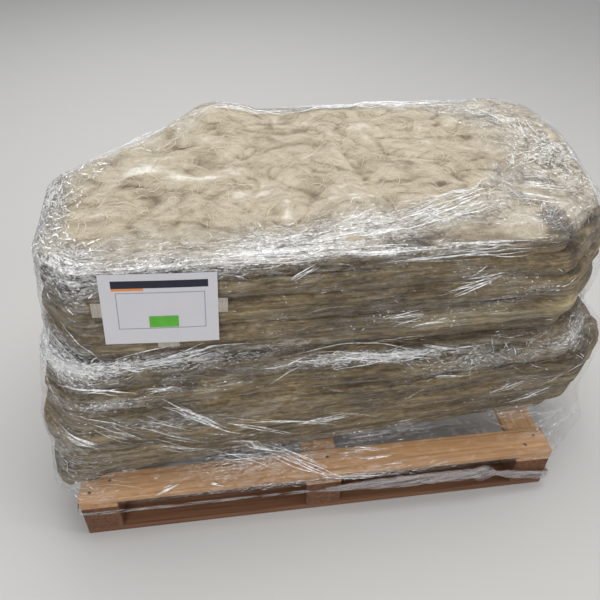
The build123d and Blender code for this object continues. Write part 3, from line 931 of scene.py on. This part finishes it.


# Creases: fine folded ridges of the film, pressed onto its surface, their white partly painted highlight

# taut groups: from, to, how many, spread across, width, and the share of them that glare. Most of the places
# were picked by eye in the photo, cast onto the film with a separate script and rounded by script to 5 mm.
# the streaks of these groups are painted highlights of the taut film, laid as white ridges
tautGroups = [
    ((0.125, -0.32, 0.515), (0.205, -0.32, 0.525), 5, 0.010, 0.0036, 0.9),
    ((0.19, -0.33, 0.5), (0.245, -0.33, 0.51), 4, 0.008, 0.0030, 0.9),
    ((0.06, -0.3, 0.45), (0.24, -0.32, 0.465), 3, 0.003, 0.0022, 0.7),
    ((0.19, -0.31, 0.425), (0.325, -0.3, 0.41), 4, 0.004, 0.0040, 0.9),
    ((-0.06, -0.3, 0.42), (0.26, -0.3, 0.4), 9, 0.010, 0.0030, 0.8),
    ((-0.11, -0.3, 0.41), (0.05, -0.3, 0.4), 4, 0.004, 0.0024, 0.8),
    ((0.02, -0.3, 0.4), (0.21, -0.31, 0.39), 10, 0.014, 0.0026, 0.6),
    ((0.235, -0.31, 0.57), (0.355, -0.31, 0.6), 8, 0.016, 0.0030, 0.85),
    ((0.29, -0.31, 0.6), (0.32, -0.3, 0.62), 4, 0.008, 0.0024, 0.8),
    ((-0.06, -0.31, 0.63), (-0.01, -0.3, 0.655), 5, 0.007, 0.0030, 0.9),
    ((0.395, -0.31, 0.25), (0.475, -0.31, 0.28), 5, 0.010, 0.0036, 0.9),
    ((0.46, -0.3, 0.21), (0.55, -0.31, 0.25), 9, 0.012, 0.0026, 0.8),
    ((0.18, -0.31, 0.19), (0.23, -0.31, 0.19), 2, 0.003, 0.0034, 1.0),
    ((0.315, -0.32, 0.135), (0.345, -0.28, 0.145), 3, 0.008, 0.0040, 1.0),
    ((0.365, -0.32, 0.135), (0.41, -0.28, 0.145), 3, 0.008, 0.0044, 1.0),
    ((0.495, -0.3, 0.135), (0.55, -0.29, 0.135), 3, 0.006, 0.0040, 1.0),
    ((0.5, -0.34, 0.135), (0.555, -0.32, 0.13), 4, 0.012, 0.0030, 0.8),
    ((0.06, -0.34, 0.13), (0.17, -0.35, 0.13), 4, 0.006, 0.0026, 0.4),
    ((0.07, -0.37, 0.13), (0.19, -0.37, 0.13), 5, 0.008, 0.0026, 0.4),
    ((0.1, -0.39, 0.13), (0.2, -0.39, 0.13), 3, 0.004, 0.0026, 0.4),
    ((0.52, -0.31, 0.26), (0.59, -0.3, 0.33), 5, 0.012, 0.0016, 0.5),
    ((-0.045, -0.33, 0.24), (0.075, -0.33, 0.25), 6, 0.010, 0.0034, 0.9),
    ((-0.05, -0.34, 0.295), (0.16, -0.32, 0.215), 3, 0.006, 0.0014, 0.5),
    ((0.235, -0.32, 0.335), (0.34, -0.32, 0.325), 5, 0.008, 0.0028, 0.8),
    ((-0.55, -0.24, 0.56), (-0.44, -0.31, 0.44), 16, 0.050, 0.0024, 0.3),
    ((-0.56, -0.22, 0.425), (-0.4, -0.31, 0.435), 22, 0.030, 0.0036, 0.7),
    ((-0.4, -0.31, 0.44), (-0.22, -0.32, 0.485), 30, 0.026, 0.0028, 0.5),
    ((-0.52, -0.3, 0.385), (-0.375, -0.32, 0.375), 8, 0.006, 0.0026, 0.8),
    ((-0.375, -0.32, 0.375), (-0.295, -0.32, 0.385), 7, 0.006, 0.0026, 0.8),
    ((-0.325, -0.33, 0.34), (-0.205, -0.35, 0.265), 12, 0.012, 0.0030, 0.7),
    ((-0.2, -0.35, 0.275), (-0.075, -0.33, 0.21), 5, 0.008, 0.0034, 0.9),
    ((-0.18, -0.34, 0.29), (0.02, -0.32, 0.225), 6, 0.010, 0.0030, 0.9),
    ((-0.485, -0.34, 0.335), (-0.375, -0.35, 0.27), 14, 0.030, 0.0020, 0.6),
    ((-0.4, -0.34, 0.31), (-0.25, -0.35, 0.23), 12, 0.030, 0.0020, 0.6),
    ((-0.545, -0.32, 0.295), (-0.48, -0.36, 0.26), 8, 0.012, 0.0034, 0.7),
    ((-0.375, -0.35, 0.245), (-0.25, -0.33, 0.175), 10, 0.020, 0.0026, 0.7),
    ((-0.32, -0.34, 0.345), (-0.2, -0.34, 0.255), 7, 0.008, 0.0026, 0.8),
    ((-0.21, -0.34, 0.205), (-0.1, -0.34, 0.16), 10, 0.012, 0.0026, 0.7),
    ((-0.12, -0.34, 0.17), (0.02, -0.4, 0.125), 14, 0.012, 0.0026, 0.8),
    ((0.0, -0.4, 0.13), (0.13, -0.4, 0.11), 10, 0.008, 0.0024, 0.7),
    ((-0.3, -0.32, 0.16), (-0.12, -0.36, 0.14), 7, 0.016, 0.0022, 0.6),
    ((-0.37, -0.4, 0.13), (-0.325, -0.38, 0.13), 3, 0.008, 0.0050, 1.0),
    ((-0.26, -0.39, 0.13), (-0.225, -0.4, 0.13), 2, 0.004, 0.0044, 1.0),
    ((-0.52, -0.34, 0.145), (-0.41, -0.38, 0.13), 4, 0.014, 0.0014, 0.4),
    ((-0.11, -0.32, 0.365), (-0.025, -0.3, 0.41), 3, 0.004, 0.0014, 0.5),
    ((-0.47, -0.29, 0.655), (-0.15, -0.31, 0.65), 16, 0.014, 0.0026, 0.6),
    ((0.0, -0.26, 0.685), (0.20, -0.22, 0.69), 20, 0.040, 0.0024, 0.6),
    ((0.16, -0.24, 0.69), (0.36, -0.17, 0.69), 22, 0.036, 0.0024, 0.6),
    ((0.20, -0.21, 0.69), (0.42, -0.11, 0.69), 12, 0.030, 0.0022, 0.5),
    ((0.02, -0.30, 0.67), (0.20, -0.30, 0.67), 12, 0.012, 0.0026, 0.8),
    ((0.22, -0.30, 0.665), (0.40, -0.30, 0.655), 12, 0.014, 0.0022, 0.8),
    ((-0.25, -0.3, 0.67), (0.05, -0.29, 0.675), 16, 0.016, 0.0022, 0.6),
    ((0.12, -0.3, 0.65), (0.33, -0.3, 0.65), 12, 0.008, 0.0024, 0.6),
    ((0.23, -0.16, 0.69), (0.365, -0.1, 0.69), 10, 0.012, 0.0022, 0.7),
    ((-0.44, 0.12, 0.685), (-0.3, 0.24, 0.69), 14, 0.020, 0.0026, 0.8),
    ((0.37, -0.15, 0.69), (0.5, -0.19, 0.69), 12, 0.014, 0.0020, 0.7),
    ((0.43, -0.07, 0.69), (0.59, 0.04, 0.69), 6, 0.014, 0.0024, 0.9),
    ((0.43, -0.09, 0.69), (0.565, -0.1, 0.69), 6, 0.010, 0.0022, 0.9),
    ((0.415, -0.13, 0.69), (0.56, -0.14, 0.69), 7, 0.010, 0.0022, 0.8),
    ((0.48, 0.01, 0.69), (0.44, -0.07, 0.69), 4, 0.006, 0.0024, 0.9),
    ((0.56, 0.23, 0.69), (0.545, 0.05, 0.69), 9, 0.030, 0.0022, 0.8),
    ((0.43, 0.28, 0.69), (0.555, 0.13, 0.69), 9, 0.020, 0.0022, 0.8),
    ((-0.3, 0.25, 0.69), (0.0, 0.28, 0.685), 14, 0.014, 0.0024, 0.7),
    ((0.0, 0.3, 0.68), (0.48, 0.3, 0.68), 18, 0.012, 0.0026, 0.6),
    ((0.3, 0.33, 0.56), (0.12, 0.34, 0.585), 6, 0.010, 0.0034, 0.9),
    ((0.06, 0.34, 0.5), (-0.12, 0.34, 0.52), 5, 0.008, 0.0030, 0.8),
    ((0.45, 0.32, 0.43), (0.1, 0.32, 0.405), 14, 0.014, 0.0030, 0.8),
    ((0.05, 0.32, 0.415), (-0.3, 0.32, 0.44), 14, 0.014, 0.0030, 0.8),
    ((0.35, 0.34, 0.29), (0.15, 0.34, 0.33), 6, 0.012, 0.0034, 0.9),
    ((-0.1, 0.34, 0.24), (-0.26, 0.34, 0.27), 5, 0.010, 0.0030, 0.8),
    ((-0.25, 0.33, 0.18), (-0.4, 0.39, 0.13), 12, 0.020, 0.0028, 0.6),
    ((0.25, 0.34, 0.17), (0.38, 0.4, 0.13), 10, 0.020, 0.0028, 0.6),
    ((0.66, -0.05, 0.56), (0.655, 0.12, 0.59), 6, 0.010, 0.0032, 0.9),
    ((0.69, 0.0, 0.33), (0.69, 0.18, 0.3), 6, 0.012, 0.0032, 0.9),
    ((0.64, -0.1, 0.43), (0.64, 0.2, 0.425), 14, 0.012, 0.0030, 0.8),
    ((-0.56, 0.05, 0.56), (-0.48, 0.13, 0.59), 6, 0.010, 0.0030, 0.8),
    ((-0.6, -0.05, 0.3), (-0.6, 0.13, 0.33), 6, 0.012, 0.0032, 0.9),
    ((-0.56, -0.1, 0.44), (-0.54, 0.06, 0.43), 12, 0.012, 0.0030, 0.8),
]

# scattered creases, white partly as painted highlights: low and high corner, how many, slant and its spread
# in degrees, shortest and longest, width, and the share of them that glare
creaseZones = [
    ((-0.60, -0.34, 0.60), (-0.42, 0.12, 0.72), 240, (0, 60), (0.008, 0.030), 0.0026, 0.8),
    ((-0.44, -0.36, 0.645), (-0.10, -0.24, 0.70), 130, (0, 22), (0.01, 0.05), 0.0012, 0.6),
    ((-0.14, -0.32, 0.66), (0.12, -0.20, 0.72), 130, (5, 14), (0.010, 0.05), 0.0012, 0.5),
    ((0.05, -0.26, 0.67), (0.36, -0.15, 0.72), 110, (13, 12), (0.012, 0.06), 0.0013, 0.5),
    ((0.00, -0.34, 0.65), (0.44, -0.29, 0.68), 70, (0, 10), (0.010, 0.04), 0.0011, 0.5),
    ((0.38, -0.26, 0.665), (0.68, 0.32, 0.72), 260, (0, 60), (0.010, 0.055), 0.0013, 0.5),
    ((-0.56, 0.10, 0.66), (0.50, 0.36, 0.74), 200, (0, 35), (0.01, 0.06), 0.0012, 0.6),
    ((-0.66, -0.36, 0.40), (-0.36, 0.20, 0.48), 130, (-10, 30), (0.01, 0.04), 0.0012, 0.6),
    ((-0.60, -0.34, 0.425), (-0.38, -0.18, 0.470), 260, (0, 25), (0.010, 0.035), 0.0036, 0.9),
    ((-0.36, -0.36, 0.42), (-0.10, -0.24, 0.50), 60, (0, 40), (0.006, 0.025), 0.0010, 0.5),
    ((-0.02, -0.36, 0.385), (0.30, -0.24, 0.42), 110, (0, 25), (0.008, 0.04), 0.0012, 0.6),
    ((0.26, -0.36, 0.33), (0.48, -0.24, 0.40), 60, (0, 60), (0.01, 0.05), 0.0014, 0.6),
    ((0.44, -0.36, 0.34), (0.70, -0.05, 0.43), 80, (0, 60), (0.008, 0.03), 0.0012, 0.6),
    ((-0.68, -0.42, 0.15), (0.74, 0.10, 0.64), 380, (-3, 40), (0.004, 0.016), 0.0010, 0.5),
    ((-0.68, -0.42, 0.15), (0.74, 0.10, 0.64), 90, (2, 22), (0.04, 0.12), 0.0012, 0.3),
    ((-0.20, -0.42, 0.10), (0.30, -0.36, 0.132), 60, (0, 40), (0.006, 0.03), 0.0014, 0.5),
    ((-0.75, 0.10, 0.14), (0.75, 0.45, 0.64), 110, (2, 16), (0.02, 0.12), 0.0018, 0.5),
    ((-0.75, 0.10, 0.40), (0.75, 0.45, 0.46), 110, (0, 14), (0.02, 0.10), 0.0018, 0.6),
]


# length of a step along a crease, how far from the film it may start, and its height over the film's skin
creases = {"seed": 23, "step": 0.009, "reach": 0.035, "lift": 0.0004}


def addCreases():
    rng = random.Random(creases["seed"])
    points, faces, finishes = [], [], []

    def lay(start, finish, width, finishIndex, curve):
        # one lens-shaped ridge, pressed onto the film
        length = (finish - start).length
        steps = max(3, min(14, int(length / creases["step"])))
        ahead = (finish - start) / length
        bend = rng.gauss(0, curve) * length
        tall = width * rng.uniform(0.2, 0.7)
        spots = [start.lerp(finish, s / steps) for s in range(steps + 1)]
        spots = [(spot, *filmTree.find_nearest(spot)) for spot in spots]
        if max(spot[4] for spot in spots) > creases["reach"]:
            return
        if min(besideNotice(*spot[1], 0.01) for spot in spots) < 0.5:
            return
        first = len(points)
        for s in range(steps + 1):
            t = s / steps
            near, normal = spots[s][1:3]
            side = normal.cross(ahead).normalized()
            near = near + side * bend * math.sin(math.pi * t)
            half = 0.5 * width * math.sin(math.pi * min(max(t, 0.04), 0.96)) ** 0.8
            points.append(near + side * half + normal * creases["lift"])
            points.append(near + normal * (creases["lift"] + tall * math.sin(math.pi * t)))
            points.append(near - side * half + normal * creases["lift"])
        for s in range(steps):
            a = first + 3 * s
            faces.append((a, a + 1, a + 4, a + 3))
            faces.append((a + 1, a + 2, a + 5, a + 4))
            finishes.extend([finishIndex] * 2)

    for start, finish, count, spread, width, glare in tautGroups:
        start, finish = Vector(start), Vector(finish)
        ahead = finish - start
        _, normal, _, _ = filmTree.find_nearest(start.lerp(finish, 0.5))
        side = normal.cross(ahead).normalized()
        for _ in range(count):
            shift = side * rng.gauss(0, spread * 0.5) + ahead * rng.gauss(0, 0.14)
            share = rng.uniform(0.35, 1.0)
            turn = side * ahead.length * rng.gauss(0, 0.03)
            middle = start.lerp(finish, 0.5) + shift
            lay(middle - ahead * share / 2 - turn, middle + ahead * share / 2 + turn,
                width * rng.uniform(0.3, 1.1), 0 if rng.random() < glare else 1, 0.03)
    for low, high, count, slant, long, wide, glare in creaseZones:
        inside = np.all((filmPoints >= np.array(low)) & (filmPoints <= np.array(high)), axis=1)
        choices = np.nonzero(inside)[0]
        for _ in range(count if len(choices) else 0):
            start = Vector(filmPoints[choices[rng.randrange(len(choices))]])
            _, normal, _, _ = filmTree.find_nearest(start)
            level = Vector((0, 0, 1)).cross(normal)
            if level.length < 0.3:
                level = Vector((1, 0, 0)) if abs(start.x) < 0.45 else Vector((0, 1, 0))
            level.normalize()
            angle = math.radians(rng.gauss(*slant))
            ahead = level * math.cos(angle) + normal.cross(level) * math.sin(angle)
            lay(start, start + ahead * rng.uniform(*long), wide * rng.uniform(0.6, 1.6),
                2 if rng.random() < glare else 1, 0.06)
    piece = addPiece("film_crease_glints", points, faces, [glareMaterial, faintMaterial, sparkleMaterial],
                     faceMaterials=finishes)
    print("crease triangles", len(faces) * 2)
    return piece


creasePiece = addCreases()
# one skin stands for all turns of the film, stretched round the pile and onto the deck
print("creases laid")


# Gathered film tied along the front

# its lumps are the knot and the neck behind it: place along x, reach and size
rope = {
    "route": [(-0.5493, -0.354, 0.092), (-0.5493, -0.395, 0.092), (-0.545, -0.4093, 0.092),
              (-0.50, -0.4093, 0.0916), (-0.20, -0.4093, 0.089), (0.10, -0.411, 0.0865),
              (0.34, -0.411, 0.0845), (0.372, -0.411, 0.084), (0.41, -0.4093, 0.075), (0.50, -0.4093, 0.05),
              (0.545, -0.4093, 0.043), (0.5493, -0.395, 0.042), (0.5493, -0.354, 0.042)],
    "strands": 6, "sides": 7, "turns": 3, "thin": 0.0040, "thick": 0.0155, "clearTo": 0.0,
    "lumps": [(0.372, 0.018, 0.006), (0.415, 0.016, -0.005)],
}


def ropeLine():
    curve = bpy.data.curves.new("ropeLine", "CURVE")
    curve.dimensions = "3D"
    spline = curve.splines.new("NURBS")
    spline.points.add(len(rope["route"]) - 1)
    for point, place in zip(spline.points, rope["route"]):
        point.co = (*place, 1)
    spline.order_u = 3
    spline.use_endpoint_u = True
    spline.resolution_u = 24
    holder = bpy.data.objects.new("ropeLine", curve)
    bpy.context.scene.collection.objects.link(holder)
    mesh = bpy.data.meshes.new_from_object(holder)
    line = [v.co.copy() for v in mesh.vertices]
    bpy.data.objects.remove(holder)
    return line


def addRope():
    line = ropeLine()
    points, faces, sides = [], [], rope["sides"]
    length = [0.0]
    for a, b in zip(line, line[1:]):
        length.append(length[-1] + (b - a).length)
    for strand in range(rope["strands"]):
        start = len(points)
        for n, place in enumerate(line):
            ahead = (line[min(n + 1, len(line) - 1)] - line[max(n - 1, 0)]).normalized()
            sideways = ahead.cross(Vector((0, 0, 1))).normalized()
            up = sideways.cross(ahead)
            s = length[n] / length[-1]
            size = rope["thin"] + (rope["thick"] - rope["thin"]) * float(smoothStep(-0.05, 0.16, place.x))
            size -= 0.004 * float(smoothStep(0.39, 0.41, place.x)) + 0.005 * float(smoothStep(0.95, 0.97, s))
            for at, reach, more in rope["lumps"]:
                size += more * math.exp(-((place.x - at) / reach) ** 2)
            turn = 2 * math.pi * (rope["turns"] * s + strand / rope["strands"])
            turn += 1.2 * noiseAt(place.x * 14, strand * 3.1, 0.5)
            middle = place + sideways * (math.cos(turn) * size * 0.18) + up * (math.sin(turn) * size * 0.85)
            for k in range(sides):
                a = 2 * math.pi * k / sides
                bulk = size * (0.36 + 0.14 * noiseAt(place.x * 60 + strand, k * 1.7, 2.0))
                points.append(middle + (sideways * math.cos(a) + up * math.sin(a)) * bulk)
        faces += ringFaces(start, sides, len(line) - 1)
        faces.append(tuple(start + k for k in range(sides)))
        faces.append(tuple(start + (len(line) - 1) * sides + k for k in range(sides)))
    finishes = [1 if points[face[0]].x < rope["clearTo"] else 0 for face in faces]
    piece = addPiece("film_cord", points, faces, [cordMaterial, clearCordMaterial],
                     faceMaterials=finishes)
    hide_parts("film_rope")


addRope()
print("film rope tied")


# Notice sheet, its label and the tape that holds it

notice = {"width": 0.210, "height": 0.148, "tilt": math.radians(3), "lean": 0.16}


def noticePlane():
    low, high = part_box("notice_sheet")
    centre = (low + high) / 2
    out = Vector((0, -1, notice["lean"])).normalized()
    level = Vector((1, 0, 0))
    up = out.cross(level)
    right = level * math.cos(notice["tilt"]) - up * math.sin(notice["tilt"])
    up = out.cross(right)
    return centre, right.normalized(), up.normalized(), out


def printedPaper():
    # matt office paper with a plain frame and two plain bands printed on it
    material, tree = newMaterial("printedPaper")
    place = addNode(tree, "ShaderNodeUVMap", {"uv_map": "print"}).outputs["UV"]
    split = addNode(tree, "ShaderNodeSeparateXYZ", links={"Vector": place})
    u, v = split.outputs["X"], split.outputs["Y"]

    def area(left, right, bottom, top):
        across = times(tree, maths(tree, "GREATER_THAN", u, left), maths(tree, "LESS_THAN", u, right))
        up = times(tree, maths(tree, "GREATER_THAN", v, bottom), maths(tree, "LESS_THAN", v, top))
        return times(tree, across, up)

    colour = mixColour(tree, area(0.10, 0.92, 0.80, 0.905), "#CBC9CD", "#14162A")
    colour = mixColour(tree, area(0.10, 0.37, 0.765, 0.80), colour, "#D98A4E")
    frameLine = maths(tree, "SUBTRACT", area(0.13, 0.89, 0.215, 0.74), area(0.138, 0.882, 0.227, 0.728))
    colour = mixColour(tree, frameLine, colour, "#8F93A0")
    wash = pattern(tree, objectPlace(tree), (30, 30, 30), 3.0)
    colour = shaded(tree, colour, 0.25, wash, [(0.3, 0.9), (0.7, 1.0)])
    finishMaterial(tree, {"Roughness": 0.55, "IOR": 1.5}, {"Base Color": colour})
    return material


def addSheetPiece(name, plane, size, lift, curl, material, node, columns=24, rows=18):
    # a sheet on a plane given by its centre and directions
    (centre, right, up, out), (width, height) = plane, size
    points, faces, places = [], [], []
    for j in range(rows + 1):
        for i in range(columns + 1):
            u, v = i / columns - 0.5, j / rows - 0.5
            rise = lift + curl(u, v)
            points.append(centre + right * (u * width) + up * (v * height) + out * rise)
            places.append((u + 0.5, v + 0.5))
    for j in range(rows):
        for i in range(columns):
            a = j * (columns + 1) + i
            faces.append((a, a + 1, a + columns + 2, a + columns + 1))
    piece = addPiece(name, points, faces, [material])
    layer = piece.data.uv_layers.new(name="print")
    for loop in piece.data.loops:
        layer.data[loop.index].uv = places[loop.vertex_index]
    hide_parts(node)
    return piece


def addNotice():
    centre, right, up, out = noticePlane()
    paper = printedPaper()

    def curl(u, v):
        return 0.0015 * (math.sin(u * 5 + 1) * 0.5 + (v * 2) ** 2 * 0.4) + 0.001

    sheet = addSheetPiece("paper_notice", (centre, right, up, out), (notice["width"], notice["height"]), 0.0,
                          curl, paper, "notice_sheet")
    # coated label stock, evenly bright
    green = speckledMaterial("fluorescentGreenLabel", (60, 60, 60), 0.55,
                             [(0.3, "#50A52C"), (0.7, "#5EB436")], {"Roughness": 0.4})
    spot = centre + right * 0.005 - up * 0.027
    addSheetPiece("green_price_label", (spot, right, up, out), (0.053, 0.024), 0.0008,
                  lambda u, v: curl(u * 0.24, v * 0.17), green, "price_sticker", 10, 6)
    # beige crepe paper, a little see-through at the film
    tape = speckledMaterial("crepeMaskingTape", (300, 300, 90), 0.55, [(0.35, "#A39B8F"), (0.65, "#BBB3A8")],
                            {"Roughness": 0.6, "Alpha": 0.86}, (0.0005, 0.5))
    tabs = {"left": (-0.108, 0.0, 0.030, 0.030), "right": (0.108, 0.003, 0.030, 0.030),
            "bottom": (0.010, -0.074, 0.040, 0.024)}
    for side, (across, rise, *size) in tabs.items():
        spot = centre + right * across + up * rise
        addSheetPiece(f"tape_{side}", (spot, right, up, out), size, -0.0002, lambda u, v: 0.0, tape,
                      f"tape_tab_{side}", 8, 8)


addNotice()
print("notice taped on")
